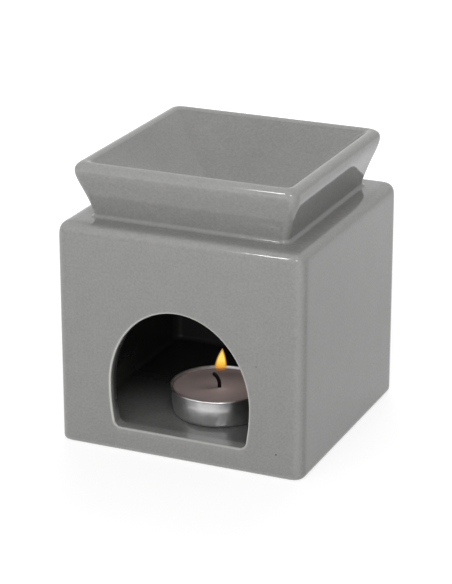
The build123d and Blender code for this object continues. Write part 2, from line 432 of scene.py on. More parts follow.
# %% [markdown]
# ## The dish's outside
# A plane gets rounded corners, its long sides are divided so that they can bend later, and its face is
# deleted. What is left is one loop of edges, and it climbs the profile ring by ring.

# %% Dish, outside
DISH_CORNER = 4.5 * MM
DISH_CORNER_STEPS = 12
SIDE_CUTS = 31


def next_ring(ratio, rise):
    """Extrudes the selected loop upwards and resizes it about the middle."""
    bpy.ops.mesh.extrude_region_move(TRANSFORM_OT_translate={"value": (0, 0, rise)})
    bpy.ops.transform.resize(value=(ratio, ratio, 1), center_override=(0, 0, 0))


bpy.ops.object.select_all(action="DESELECT")
bpy.ops.mesh.primitive_plane_add(
    size=2 * (NECK_HALF + profile[0][0]), location=(0, 0, SEAT_Z + profile[0][1])
)
bpy.ops.object.transform_apply(location=True, rotation=True, scale=True)
dish = bpy.context.object
dish.name = "glazed_dish"
edit(dish)
bpy.ops.mesh.select_all(action="SELECT")
bpy.ops.mesh.bevel(offset=DISH_CORNER, segments=DISH_CORNER_STEPS, profile=FULLNESS, affect="VERTICES")
pick_edges(lambda a, b: (a - b).length > NECK_HALF)
bpy.ops.mesh.subdivide(number_cuts=SIDE_CUTS)
bpy.ops.mesh.select_all(action="SELECT")
bpy.ops.mesh.delete(type="ONLY_FACE")
bpy.ops.mesh.select_all(action="SELECT")
for (reach, height), (reach_next, height_next) in zip(profile, profile[1:]):
    next_ring((NECK_HALF + reach_next) / (NECK_HALF + reach), height_next - height)
print("dish outside:", len(profile), "rings")

# %% [markdown]
# ## The bowl
# Inside, the walls ease down into a round bottom without a crease: square at the lip, rounder with depth.
# The rings go on from the lip, each resized, rounded a little with the to-sphere tool and moved down to
# its height. The first half of the rings do most of the rounding, so that the square corners fade
# out just below the rim, as they do in the photograph.

# %% Dish, bowl
BOWL_BOTTOM = 86.1 * MM
BOWL_SHAPE = 2.2
BOWL_ROUNDING = 0.45
BOWL_RINGS = 30
bowl_edge_half = NECK_HALF + profile[-1][0]
bowl_edge_z = SEAT_Z + profile[-1][1]


def selected_half():
    """Half the width of the selected ring."""
    shell = bmesh.from_edit_mesh(bpy.context.object.data)
    return max(vertex.co.x for vertex in shell.verts if vertex.select)


z_now = bowl_edge_z
rounded = 0.0
for step in range(1, BOWL_RINGS):
    share = 1 - step / BOWL_RINGS
    next_ring(share * bowl_edge_half / selected_half(), 0)
    rounding = BOWL_ROUNDING * (1 - share**4)
    bpy.ops.transform.tosphere(value=(rounding - rounded) / (1 - rounded))
    rounded = rounding
    share = selected_half() / bowl_edge_half
    z_next = BOWL_BOTTOM + (bowl_edge_z - BOWL_BOTTOM) * share**BOWL_SHAPE
    bpy.ops.transform.translate(value=(0, 0, z_next - z_now))
    z_now = z_next
bpy.ops.mesh.extrude_region_move(TRANSFORM_OT_translate={"value": (0, 0, BOWL_BOTTOM - z_now)})
bpy.ops.mesh.merge(type="CENTER")
print("bowl:", BOWL_RINGS, "rings, bottom at", round(BOWL_BOTTOM / MM, 2), "mm")

# %% [markdown]
# ## The belly
# The bowl is deeper than the dish's wall is tall, so a round belly hangs through the hole in the box's
# top, over the flame. The open loop at the foot is extruded inwards and pulled to a circle with the
# to-sphere tool, and then ring by ring down to the lowest point. The seam is merged there.

# %% Dish, belly
BELLY_RADIUS = 34.0 * MM
BELLY_DROP = 6.9 * MM
BELLY_RINGS = 12
belly_ball = (BELLY_RADIUS**2 + BELLY_DROP**2) / (2 * BELLY_DROP)


def belly_depth(radius):
    """How far the belly hangs below the seat at this radius."""
    return BELLY_DROP - belly_ball + sqrt(belly_ball**2 - radius**2)


foot_z = SEAT_Z + profile[0][1]
pick_edges(lambda a, b: max(a.z, b.z) < foot_z + HAIR and min(a.xy.length, b.xy.length) > BELLY_RADIUS)
foot_half = NECK_HALF + profile[0][0]
next_ring(BELLY_RADIUS / foot_half, 0)
bpy.ops.transform.tosphere(value=1.0)
shell = bmesh.from_edit_mesh(dish.data)
ring = [hypot(vertex.co.x, vertex.co.y) for vertex in shell.verts if vertex.select]
radius_now = sum(ring) / len(ring)
next_ring(BELLY_RADIUS / radius_now, 0)
radius_now = BELLY_RADIUS
depth_now = 0.0
for step in range(1, BELLY_RINGS):
    radius_next = BELLY_RADIUS * (1 - step / BELLY_RINGS)
    next_ring(radius_next / radius_now, depth_now - belly_depth(radius_next))
    radius_now, depth_now = radius_next, belly_depth(radius_next)
bpy.ops.mesh.extrude_region_move(TRANSFORM_OT_translate={"value": (0, 0, depth_now - BELLY_DROP)})
bpy.ops.mesh.merge(type="CENTER")
bpy.ops.mesh.select_all(action="SELECT")
bpy.ops.mesh.remove_doubles(threshold=HAIR / 10)
bpy.ops.mesh.normals_make_consistent(inside=False)
bpy.ops.object.mode_set(mode="OBJECT")
print("dish:", len(dish.data.polygons), "faces, belly down to", round((SEAT_Z - BELLY_DROP) / MM, 2), "mm")

# %% [markdown]
# ## Where the glaze runs thin
# Glaze melts and flows: it draws back from sharp outward edges, which turn pale and creamy, and it pools
# in hollows, which turn darker. Both can be read from the mesh itself. For each edge the angle between its
# two faces, divided by their distance, is the surface's bend there. The sharpest bend at each point is kept
# in two attributes that the glaze's material reads later. A painted mask would do the same, but it would
# have to be painted again after each change of shape.

# %% Glaze flow
def store_glaze_flow(piece, sharp_bend):
    """Stores how sharply each point's edges bend outwards and inwards, from 0 to 1."""
    shell = bmesh.new()
    shell.from_mesh(piece.data)
    shell.normal_update()
    thin = [0.0] * len(shell.verts)
    pooled = [0.0] * len(shell.verts)
    for edge in shell.edges:
        if len(edge.link_faces) != 2:
            continue
        one, two = edge.link_faces
        apart = (one.calc_center_median() - two.calc_center_median()).length
        bend = edge.calc_face_angle_signed(0.0) / max(apart, HAIR)
        for vertex in edge.verts:
            thin[vertex.index] = max(thin[vertex.index], min(bend / sharp_bend, 1.0))
            pooled[vertex.index] = max(pooled[vertex.index], min(-bend / sharp_bend, 1.0))
    shell.free()
    for name, values in (("thin_glaze", thin), ("pooled_glaze", pooled)):
        attribute = piece.data.attributes.new(name, "FLOAT", "POINT")
        attribute.data.foreach_set("value", values)
    return sum(value > 0.5 for value in thin), sum(value > 0.5 for value in pooled)


SHARP_BEND = 0.8 / MM
for piece in (box, dish):
    print(piece.name, "thin and pooled points:", store_glaze_flow(piece, SHARP_BEND))

# %% [markdown]
# ## Smooth shading
# A rounded edge should shade as one curve, while the big faces stay flat. Smoothing by angle does the
# first, and a Weighted Normal modifier does the second: it lets the largest face at each point decide.

# %% Smooth shading
def shade(piece, angle):
    """Shades a piece smooth, with its large faces flat."""
    bpy.ops.object.select_all(action="DESELECT")
    piece.select_set(True)
    bpy.context.view_layer.objects.active = piece
    bpy.ops.object.shade_smooth_by_angle(angle=radians(angle))
    bpy.ops.object.modifier_add(type="WEIGHTED_NORMAL")
    weighted = piece.modifiers[-1]
    weighted.keep_sharp = True
    weighted.weight = 100
    bpy.ops.object.modifier_apply(modifier=weighted.name)


shade(box, 40)
bpy.ops.object.select_all(action="DESELECT")
dish.select_set(True)
bpy.context.view_layer.objects.active = dish
bpy.ops.object.shade_smooth_by_angle(angle=radians(50))
print("shaded:", box.name, dish.name)

# %% [markdown]
# ## The foil cup
# A tealight's cup is pressed from thin aluminium. Its wall leans out a little, its rim is rolled outwards
# into a bead, and handling leaves it slightly crinkled. It is a turned shape, so a circle is extruded and
# resized along the outline, from the middle of the underside up over the bead and down the inside. These
# helpers turn any such outline, close it and move it to the tealight's place.

# %% Turning tools
ROUND_SHADE = radians(50)


def arc(radius_mid, z_mid, size, start, end, steps):
    """Points of an arc in the outline, in degrees from straight out, counted upwards."""
    turns = [radians(start + (end - start) * step / steps) for step in range(steps + 1)]
    return [(radius_mid + size * cos(turn), z_mid + size * sin(turn)) for turn in turns]


def turn_piece(name, outline, sides):
    """Turns an outline of radius and height into a round piece about the tealight's axis."""
    bpy.ops.object.select_all(action="DESELECT")
    bpy.ops.mesh.primitive_circle_add(
        vertices=sides, radius=outline[0][0], location=(0, 0, outline[0][1])
    )
    bpy.ops.object.transform_apply(location=True, rotation=True, scale=True)
    piece = bpy.context.object
    piece.name = name
    edit(piece)
    bpy.ops.mesh.select_all(action="SELECT")
    for (radius, z), (radius_next, z_next) in zip(outline, outline[1:]):
        next_ring(radius_next / radius, z_next - z)
    return piece


def close_and_place(piece, place):
    """Merges the seam, turns the faces outwards and moves the mesh to its place."""
    bpy.ops.mesh.select_all(action="SELECT")
    bpy.ops.mesh.remove_doubles(threshold=HAIR / 10)
    bpy.ops.mesh.normals_make_consistent(inside=False)
    bpy.ops.transform.translate(value=place)
    bpy.ops.object.mode_set(mode="OBJECT")
    bpy.ops.object.shade_smooth_by_angle(angle=ROUND_SHADE)
    print(piece.name + ":", len(piece.data.polygons), "faces")


# %% [markdown]
# ## The cup's outline
# The bottom corner is pressed round, the wall bulges by a fifth of a millimetre, and the bead at the top is
# most of a circle. The same wall comes down again on the inside, one foil's thickness in.

# %% Foil cup
TEALIGHT = Vector((3 * MM, -18 * MM, 0))
CUP_TOP = 20.0 * MM
CUP_BASE = 17.95 * MM
CUP_MOUTH = 18.35 * MM
CUP_BARREL = 0.22 * MM
CUP_CORNER = 1.8 * MM
CUP_SIDE = 7.6 * MM
CUP_MIDDLE = 8.0 * MM
POLE = 0.5 * MM
FOIL = 0.35 * MM
BEAD = 0.42 * MM
BEAD_RADIUS = 18.8 * MM
BARREL_STEPS = 6

cup_inner_base = CUP_BASE - FOIL
cup_widens = CUP_MOUTH - CUP_BASE
cup_outline = [(POLE, FLOOR_Z), (CUP_MIDDLE, FLOOR_Z)]
cup_outline += arc(CUP_BASE - CUP_CORNER, FLOOR_Z + CUP_CORNER, CUP_CORNER, -90, 0, 5)
for step in range(1, BARREL_STEPS + 1):
    share = 0.9 * step / BARREL_STEPS
    barrel = CUP_BARREL * sin(pi * share)
    cup_outline.append((CUP_BASE + barrel + share * cup_widens, FLOOR_Z + CUP_CORNER + share * CUP_SIDE))
cup_outline += arc(BEAD_RADIUS, CUP_TOP - BEAD, BEAD, -115, 180, 11)
for share in (0.9, 0.6, 0.3):
    cup_outline.append((cup_inner_base + share * cup_widens, FLOOR_Z + CUP_CORNER + share * CUP_SIDE))
cup_outline += arc(cup_inner_base - 1.5 * MM, FLOOR_Z + FOIL + 1.5 * MM, 1.5 * MM, 0, -90, 4)
cup_outline += [(CUP_MIDDLE, FLOOR_Z + FOIL), (POLE, FLOOR_Z + FOIL)]
cup = turn_piece("foil_cup", cup_outline, 144)
bpy.ops.mesh.merge(type="CENTER")
pick_edges(lambda a, b: max(a.xy.length, b.xy.length) < POLE + HAIR and max(a.z, b.z) < FLOOR_Z + HAIR)
bpy.ops.mesh.merge(type="CENTER")
close_and_place(cup, TEALIGHT)

# %% [markdown]
# ## Crinkles in the foil
# Foil this thin never stays true. A cloud texture displaces the whole cup by up to an eighth of a
# millimetre, which breaks its reflections up as handling does.

# %% Foil crinkles
CRINKLE_SIZE = 3.2 * MM
CRINKLE_DEPTH = 0.24 * MM

crinkle = bpy.data.textures.new("foil_crinkle", type="CLOUDS")
crinkle.noise_scale = CRINKLE_SIZE
bpy.ops.object.modifier_add(type="DISPLACE")
dent = cup.modifiers[-1]
dent.texture = crinkle
dent.texture_coords = "LOCAL"
dent.strength = CRINKLE_DEPTH
dent.mid_level = 0.5
bpy.ops.object.modifier_apply(modifier=dent.name)
print("foil crinkled by", round(CRINKLE_DEPTH / MM, 2), "mm")

# %% [markdown]
# ## The wax
# The wax fills the cup to about a millimetre below the bead and creeps up the foil at its edge. Round the
# wick the flame has melted a shallow pool. Its underside has the hollow that the wick's steel foot sits
# in. It is turned like the cup, but as a closed ring, so the last loop lands on the first and the seam
# is merged.

# %% Wax
WAX_LEVEL = 18.3 * MM
WAX_BASE = 9.02 * MM
WAX_GAP = 0.25 * MM
WICK_HOLE = 0.86 * MM


def cup_inside(z):
    """The radius of the wax's side at a height, a hair inside the foil."""
    share = (z - FLOOR_Z - CUP_CORNER) / CUP_SIDE
    return cup_inner_base + share * cup_widens - WAX_GAP


wax_outline = [
    (WICK_HOLE, WAX_LEVEL + 0.12 * MM),
    (1.2 * MM, WAX_LEVEL + 0.08 * MM),
    (1.7 * MM, WAX_LEVEL - 0.05 * MM),
    (2.4 * MM, WAX_LEVEL - 0.2 * MM),
    (3.6 * MM, WAX_LEVEL - 0.28 * MM),
    (5.5 * MM, WAX_LEVEL - 0.24 * MM),
    (8.0 * MM, WAX_LEVEL - 0.12 * MM),
    (10.5 * MM, WAX_LEVEL - 0.03 * MM),
    (13.0 * MM, WAX_LEVEL),
    (15.0 * MM, WAX_LEVEL + 0.05 * MM),
    (16.2 * MM, WAX_LEVEL + 0.18 * MM),
    (17.0 * MM, WAX_LEVEL + 0.42 * MM),
    (cup_inside(WAX_LEVEL + 0.6 * MM), WAX_LEVEL + 0.6 * MM),
    (cup_inside(14 * MM), 14 * MM),
    (cup_inside(10.9 * MM), 10.9 * MM),
    (15.6 * MM, WAX_BASE + 0.35 * MM),
    (14.6 * MM, WAX_BASE),
    (6.65 * MM, WAX_BASE),
    (6.65 * MM, WAX_BASE + 0.55 * MM),
    (1.55 * MM, WAX_BASE + 0.55 * MM),
    (1.55 * MM, 13.55 * MM),
    (WICK_HOLE, 13.55 * MM),
    (WICK_HOLE, WAX_LEVEL + 0.12 * MM),
]
wax = turn_piece("candle_wax", wax_outline, 96)
close_and_place(wax, TEALIGHT)

# %% [markdown]
# ## The wick
# The wick is a braided cotton cord, charred black, that bends over as it burns. A small circle is
# extruded up out of the steel foot and then spun about a level axis, which gives the bend in one step.
# Spin turns the shape inside out on some sides, so its normals are made consistent at the end.

# %% Wick
WICK_RADIUS = 0.75 * MM
WICK_FOOT_Z = 9.45 * MM
WICK_BEND_Z = 19.6 * MM
BEND_RADIUS = 5.6 * MM
BEND_ANGLE = radians(52)
WICK_LEAN = radians(205)
lean = Vector((cos(WICK_LEAN), sin(WICK_LEAN), 0))

bpy.ops.object.select_all(action="DESELECT")
bpy.ops.mesh.primitive_circle_add(
    vertices=14, radius=WICK_RADIUS, fill_type="NGON", location=(0, 0, WICK_FOOT_Z)
)
bpy.ops.object.transform_apply(location=True, rotation=True, scale=True)
wick = bpy.context.object
wick.name = "burnt_wick"
edit(wick)
bpy.ops.mesh.select_mode(type="FACE")
bpy.ops.mesh.select_all(action="SELECT")
RISES = 10
for step in range(RISES):
    bpy.ops.mesh.extrude_region_move(
        TRANSFORM_OT_translate={"value": (0, 0, (WICK_BEND_Z - WICK_FOOT_Z) / RISES)}
    )
bend_centre = Vector((0, 0, WICK_BEND_Z)) + BEND_RADIUS * lean
bpy.ops.mesh.spin(
    steps=12, angle=BEND_ANGLE, center=bend_centre, axis=lean.cross(Vector((0, 0, 1))), dupli=False
)
tip_step = 0.35 * MM * lean + Vector((0, 0, 0.25 * MM))
bpy.ops.mesh.extrude_region_move(TRANSFORM_OT_translate={"value": tip_step})
bpy.ops.transform.resize(value=(0.6, 0.6, 0.6))
close_and_place(wick, TEALIGHT)
wick_top = max(vertex.co.z for vertex in wick.data.vertices)
print("wick's top at", round(wick_top / MM, 2), "mm")

# %% [markdown]
# ## The flame
# A candle flame is hot gas: a bright yellow body, orange at its edge, that fades to nothing round the wick.
# Two nested turned shells stand for it, a solid core and a clearer skin. Both glow by themselves,
# and fade towards the bottom through their alpha.

# %% Flame
FLAME = TEALIGHT + Vector((0.45 * MM, 0, 0))
FLAME_BASE = 25.3 * MM
FLAME_TIP = 34.7 * MM
FLAME_LEAN = 0.85 * MM
FLAME_STEPS = 16


def flame_width(up):
    """The flame's width at a share of its height: round at the wick, pointed at the tip."""
    return max((1 - up**2) * (0.8 + 0.2 * min(1.0, 8 * up)), 0.02)


def make_flame(name, half_width, base, tip):
    """Turns one shell of the flame and leans it towards its tip."""
    shares = [step / FLAME_STEPS for step in range(FLAME_STEPS + 1)]
    outline = [(half_width * flame_width(up), base + (tip - base) * up) for up in shares]
    shell_piece = turn_piece(name, outline, 32)
    bpy.ops.mesh.merge(type="CENTER")
    pick_edges(lambda a, b: max(a.z, b.z) < outline[0][1] + HAIR)
    bpy.ops.mesh.edge_face_add()
    shell = bmesh.from_edit_mesh(shell_piece.data)
    for vertex in shell.verts:
        vertex.co.x += FLAME_LEAN * max(0.0, (vertex.co.z - FLAME_BASE) / (FLAME_TIP - FLAME_BASE)) ** 1.3
    bmesh.update_edit_mesh(shell_piece.data)
    close_and_place(shell_piece, FLAME)
    return shell_piece


flame_skin = make_flame("flame_skin", 2.4 * MM, FLAME_BASE, FLAME_TIP)
flame_core = make_flame("flame_core", 1.85 * MM, FLAME_BASE + 0.7 * MM, FLAME_TIP - 1.0 * MM)

# %% [markdown]
# ## Node tools
# A finish is a tree of nodes. Wiring each node by hand takes many lines, so these helpers make one node
# each, feed it with other sockets or with plain values, and hand back its output.

# %% Node tools
def wire(tree, source, target):
    """Links one socket to another."""
    tree.links.new(source, target)


def feed(tree, value, socket):
    """Wires another socket in, or sets a plain value."""
    if isinstance(value, bpy.types.NodeSocket):
        wire(tree, value, socket)
    else:
        socket.default_value = value


def math_node(tree, operation, *values):
    """A Math node, each input a socket or a number."""
    node = tree.nodes.new("ShaderNodeMath")
    node.operation = operation
    for socket, value in zip(node.inputs, values):
        feed(tree, value, socket)
    return node.outputs[0]


def noise_node(tree, vector, scale, detail):
    """A Noise texture on the given coordinates."""
    node = tree.nodes.new("ShaderNodeTexNoise")
    node.inputs["Detail"].default_value = detail
    wire(tree, vector, node.inputs["Vector"])
    feed(tree, scale, node.inputs["Scale"])
    return node.outputs["Fac"]


def mix_colours(tree, factor, one, two):
    """A Mix node for colours; each input is a socket or a plain value."""
    node = tree.nodes.new("ShaderNodeMix")
    node.data_type = "RGBA"
    for socket, value in ((node.inputs[0], factor), (node.inputs[6], one), (node.inputs[7], two)):
        feed(tree, value, socket)
    return node.outputs[2]


def mix_values(tree, factor, one, two):
    """A Mix node for values; each input is a socket or a number."""
    node = tree.nodes.new("ShaderNodeMix")
    for socket, value in ((node.inputs[0], factor), (node.inputs[2], one), (node.inputs[3], two)):
        feed(tree, value, socket)
    return node.outputs[0]


# %% [markdown]
# ## Shared effects
# Two effects are used by more than one finish, so each is a node group with named sockets. Mottle varies
# a colour by noise at two sizes, clouds and specks. Grain gives a height for bump. They put out colours
# and values only; the shader itself stays in each material.

# %% Shared effects
COLOUR, VALUE, VECTOR = "NodeSocketColor", "NodeSocketFloat", "NodeSocketVector"


def new_group(name, inputs, outputs):
    """Starts a shader node group with its sockets."""
    group = bpy.data.node_groups.new(name, "ShaderNodeTree")
    for socket, kind in inputs:
        group.interface.new_socket(name=socket, in_out="INPUT", socket_type=kind)
    for socket, kind in outputs:
        group.interface.new_socket(name=socket, in_out="OUTPUT", socket_type=kind)
    nodes = group.nodes
    return group, nodes.new("NodeGroupInput").outputs, nodes.new("NodeGroupOutput").inputs


mottle, given, result = new_group(
    "mottle",
    (
        ("Vector", VECTOR), ("Light", COLOUR), ("Dark", COLOUR),
        ("Cloud Scale", VALUE), ("Speck Scale", VALUE), ("Cloud Share", VALUE),
    ),
    (("Color", COLOUR),),
)
clouds = noise_node(mottle, given["Vector"], given["Cloud Scale"], 3)
specks = noise_node(mottle, given["Vector"], given["Speck Scale"], 2)
patches = mix_values(mottle, given["Cloud Share"], specks, clouds)
stretched = math_node(mottle, "MULTIPLY_ADD", patches, 2.0, -0.5)
wire(mottle, mix_colours(mottle, stretched, given["Dark"], given["Light"]), result["Color"])

grain, given, result = new_group(
    "grain",
    (("Vector", VECTOR), ("Wave Scale", VALUE), ("Grain Scale", VALUE), ("Grain Share", VALUE)),
    (("Height", VALUE),),
)
waves = noise_node(grain, given["Vector"], given["Wave Scale"], 1)
grains = noise_node(grain, given["Vector"], given["Grain Scale"], 2)
small = math_node(grain, "MULTIPLY", grains, given["Grain Share"])
wire(grain, math_node(grain, "ADD", waves, small), result["Height"])
print("node groups:", mottle.name, grain.name)


# %% [markdown]
# ## Using the effects in a material
# Each finish below is a Principled shader. These helpers start one, place a group in it with its own
# values, turn a height into a bump, and put the finish on a piece.

# %% Material helpers
def new_finish(name):
    """Starts a node material and returns it with its tree, shader and object coordinates."""
    material = bpy.data.materials.new(name)
    material.use_nodes = True
    tree = material.node_tree
    place = tree.nodes.new("ShaderNodeTexCoord").outputs["Object"]
    return material, tree, tree.nodes["Principled BSDF"], place


def use_group(tree, group, place, **values):
    """Places a node group in a material with its own values, and returns its first output."""
    node = tree.nodes.new("ShaderNodeGroup")
    node.node_tree = group
    wire(tree, place, node.inputs["Vector"])
    for socket, value in values.items():
        node.inputs[socket.replace("_", " ")].default_value = value
    return node.outputs[0]


def add_bump(tree, shader, height, distance, strength):
    """Feeds a height into the shader's normal."""
    bump = tree.nodes.new("ShaderNodeBump")
    bump.inputs["Distance"].default_value = distance
    bump.inputs["Strength"].default_value = strength
    wire(tree, height, bump.inputs["Height"])
    wire(tree, bump.outputs["Normal"], shader.inputs["Normal"])


def put_on(finish, *pieces):
    """Gives the pieces a finish, in place of any that they had."""
    for piece in pieces:
        piece.data.materials.clear()
        piece.data.materials.append(finish)
    print(finish.name, "on:", [piece.name for piece in pieces])


def grey(level, warm=0.0):
    """A grey, a little warm if asked, as a colour with alpha."""
    return (level, level, level * (1 - warm), 1.0)


# %% [markdown]
# ## Masks
# A finish changes from place to place. A mask is a value from 0 to 1 that says where: it can come from an
# attribute stored in the mesh, from a smooth fade between two values, or from the distance to a point.

# %% Masks
def attribute_node(tree, name):
    """A stored attribute of the mesh as a value."""
    node = tree.nodes.new("ShaderNodeAttribute")
    node.attribute_name = name
    return node.outputs["Fac"]


def fade_node(tree, value, start, end):
    """A mask that is 0 at the start, 1 at the end and rises smoothly between them."""
    node = tree.nodes.new("ShaderNodeMapRange")
    node.interpolation_type = "SMOOTHSTEP"
    node.inputs["From Min"].default_value = start
    node.inputs["From Max"].default_value = end
    wire(tree, value, node.inputs["Value"])
    return node.outputs["Result"]


def near_point(tree, place, point, radius):
    """A mask that is 1 at a point and fades to 0 at a radius."""
    gap = tree.nodes.new("ShaderNodeVectorMath")
    gap.operation = "DISTANCE"
    wire(tree, place, gap.inputs[0])
    gap.inputs[1].default_value = point
    return fade_node(tree, gap.outputs["Value"], radius, radius * 0.5)


def all_of(tree, first, *others):
    """A mask that is full only where all the given masks are."""
    for mask in others:
        first = math_node(tree, "MULTIPLY", first, mask)
    return first


# %% [markdown]
# ## Painted shade in the chamber
# Little light gets into the chamber, so its shade is painted into the glaze's colour as a dark film. The
# painted shade is deepest on the back, the sides and the ceiling, lighter on the floor, lightest at the
# floor's left where the mouth lets light in, and it stops just behind the mouth's edge. It could be painted
# as a texture, but walls and heights describe it well enough.

# %% Painted shade in the chamber
# How deep the painted shade in the chamber is: deepest high up and far back, lighter on the floor, lighter
# still at its left.
SHADE_DEEPEST = 0.96
SHADE_ON_FLOOR = 0.56
SHADE_LESS_LEFT = -0.2
SKIN = 0.2 * MM


def chamber_shade_film(tree, axes, place):
    """A mask of painted shade: only inside the chamber, light on its floor and deep higher up."""
    x, y, z = axes
    uneven = math_node(tree, "MULTIPLY_ADD", noise_node(tree, place, 60.0, 2), 10 * MM, z)
    high_up = fade_node(tree, uneven, 13 * MM, 26 * MM)
    far_back = fade_node(tree, y, -44 * MM, 16 * MM)
    to_the_left = fade_node(tree, x, 8 * MM, -18 * MM)
    least = math_node(tree, "MULTIPLY_ADD", to_the_left, SHADE_LESS_LEFT, SHADE_ON_FLOOR)
    shade_depth = mix_values(tree, math_node(tree, "MAXIMUM", high_up, far_back), least, SHADE_DEEPEST)
    between_walls = math_node(tree, "LESS_THAN", math_node(tree, "ABSOLUTE", x), inner + SKIN)
    before_back = math_node(tree, "LESS_THAN", y, inner + SKIN)
    above_sill = fade_node(tree, z, SILL_Z + 0.5 * MM, SILL_Z + 2 * MM)
    on_jambs = all_of(tree, fade_node(tree, y, front_y + 0.6 * MM, front_y + 3.8 * MM), above_sill)
    past_sill = fade_node(tree, y, front_y + 0.6 * MM, front_y + 11 * MM)
    behind_mouth = math_node(tree, "MAXIMUM", on_jambs, past_sill)
    below_bowl = math_node(tree, "LESS_THAN", z, 85.5 * MM)
    above_foot = math_node(tree, "GREATER_THAN", z, FLOOR_Z - 0.1 * MM)
    return all_of(tree, shade_depth, between_walls, before_back, behind_mouth, below_bowl, above_foot)


# %% [markdown]
# ## The grey glaze
# The glaze is a neutral mid grey, glossy as glass, finely speckled. It turns pale and creamy where it runs
# thin: most at the mouth's sharp edge, a little on the soft edges, and in a faint band under the sill. It
# is darker where it pools. The two attributes from above steer that. Nodes are mixed one over the
# other, as layers of paint would be.

# %% Grey glaze, colour
GLAZE_LIGHT = grey(0.284, 0.02)
GLAZE_DARK = grey(0.214, 0.025)
GLAZE_THIN = (0.62, 0.615, 0.58, 1.0)
GLAZE_POOLED = (0.17, 0.17, 0.16, 1.0)

glaze, tree, shader, place = new_finish("grey_glaze")
axes = tree.nodes.new("ShaderNodeSeparateXYZ").outputs
wire(tree, place, axes[0].node.inputs[0])
x, y, z = axes
colour = use_group(
    tree, mottle, place, Light=GLAZE_LIGHT, Dark=GLAZE_DARK,
    Cloud_Scale=140.0, Speck_Scale=1100.0, Cloud_Share=0.22,
)
thin = attribute_node(tree, "thin_glaze")
gathered = math_node(tree, "MULTIPLY_ADD", fade_node(tree, z, 9.4 * MM, 12.5 * MM), 0.5, 0.4)
sharp_edge = all_of(tree, fade_node(tree, thin, 0.42, 1.0), gathered)
soft_edge = all_of(tree, fade_node(tree, thin, 0.16, 0.36), 0.13)
aside = math_node(tree, "ABSOLUTE", math_node(tree, "SUBTRACT", x, ARCH_ASIDE))
under_sill = all_of(
    tree,
    fade_node(tree, z, SILL_Z - 4.0 * MM, SILL_Z - 0.8 * MM),
    fade_node(tree, aside, ARCH_FOOT_HALF + 1.5 * MM, ARCH_FOOT_HALF - 2 * MM),
    math_node(tree, "LESS_THAN", z, SILL_Z + 0.2 * MM),
    math_node(tree, "LESS_THAN", y, front_y + 1.2 * MM),
    0.06,
)
thinness = math_node(tree, "MAXIMUM", math_node(tree, "MAXIMUM", sharp_edge, soft_edge), under_sill)
colour = mix_colours(tree, thinness, colour, GLAZE_THIN)
pooled = all_of(tree, attribute_node(tree, "pooled_glaze"), 0.4)
colour = mix_colours(tree, pooled, colour, GLAZE_POOLED)
print("glaze colour:", len(tree.nodes), "nodes")

# %% [markdown]
# ## Pinholes, painted shade and bare clay
# A few pinholes are left where gas broke through the melt. The chamber's painted shade lies over the glaze.
# The foot rim that the burner stands on is wiped clean before firing, so bare clay shows there.

# %% Grey glaze, marks
PINHOLE = (0.05, 0.05, 0.045, 1.0)
PINHOLES = (
    ((40.0, -50.0, 9.7), 0.45),
    ((50.0, -13.0, 3.9), 0.5),
    ((31.9, -50.0, 43.4), 0.3),
)
# The colour of the painted shade inside the chamber.
CHAMBER_SHADE = grey(0.022)
BARE_CLAY = (0.56, 0.52, 0.45, 1.0)
WIPED = 0.35 * MM

pits = 0.0
for point, radius in PINHOLES:
    pit = near_point(tree, place, [axis * MM for axis in point], radius * MM)
    pits = math_node(tree, "MAXIMUM", pit, pits)
colour = mix_colours(tree, pits, colour, PINHOLE)
# Painted shade: the chamber's inside is darkened in the glaze's colour.
chamber_shaded = chamber_shade_film(tree, axes, place)
colour = mix_colours(tree, chamber_shaded, colour, CHAMBER_SHADE)
bare = math_node(tree, "LESS_THAN", z, WIPED)
colour = mix_colours(tree, bare, colour, BARE_CLAY)
wire(tree, colour, shader.inputs["Base Color"])
print("glaze marks:", len(PINHOLES), "pinholes, soot and bare clay")

# %% [markdown]
# ## The glaze's gloss
# Glaze is a glass, so its gloss comes from a low roughness and an index of 1.5. Bare clay and the chamber's
# painted shade are dull.
# A slow wave and a fine grain in the bump keep the reflections from being perfect.

# %% Grey glaze, gloss
roughness = math_node(tree, "MULTIPLY_ADD", noise_node(tree, place, 90.0, 2), 0.05, 0.03)
dull_clay = all_of(tree, bare, 0.85)
dull = math_node(tree, "MAXIMUM", dull_clay, fade_node(tree, chamber_shaded, 0.55, 1.6))
wire(tree, math_node(tree, "MAXIMUM", roughness, dull), shader.inputs["Roughness"])
shader.inputs["IOR"].default_value = 1.5
heights = use_group(tree, grain, place, Wave_Scale=45.0, Grain_Scale=420.0, Grain_Share=0.06)
pitted = math_node(tree, "SUBTRACT", heights, all_of(tree, pits, 0.5))
add_bump(tree, shader, pitted, 0.25 * MM, 0.5)
put_on(glaze, box, dish)

# %% [markdown]
# ## Aluminium and steel
# The cup's foil is bright but not polished: rolling and pressing leave it satin, with fine scratches and
# patches of different gloss. The wick's foot is thin tinned steel, and its solid is already the right
# shape, so it stays and only gets a finish.

# %% Metals
def metal_finish(name, light, dark, scale, low_roughness, spread, relief):
    """A satin metal with patches of colour and gloss."""
    material, tree, shader, place = new_finish(name)
    colour = use_group(
        tree, mottle, place, Light=light, Dark=dark,
        Cloud_Scale=scale, Speck_Scale=6 * scale, Cloud_Share=0.5,
    )
    wire(tree, colour, shader.inputs["Base Color"])
    shader.inputs["Metallic"].default_value = 1.0
    patch = noise_node(tree, place, scale * 1.7, 3)
    roughness = math_node(tree, "MULTIPLY_ADD", patch, spread, low_roughness)
    wire(tree, roughness, shader.inputs["Roughness"])
    heights = use_group(tree, grain, place, Wave_Scale=scale, Grain_Scale=9 * scale, Grain_Share=0.1)
    add_bump(tree, shader, heights, 0.1 * MM, relief)
    return material


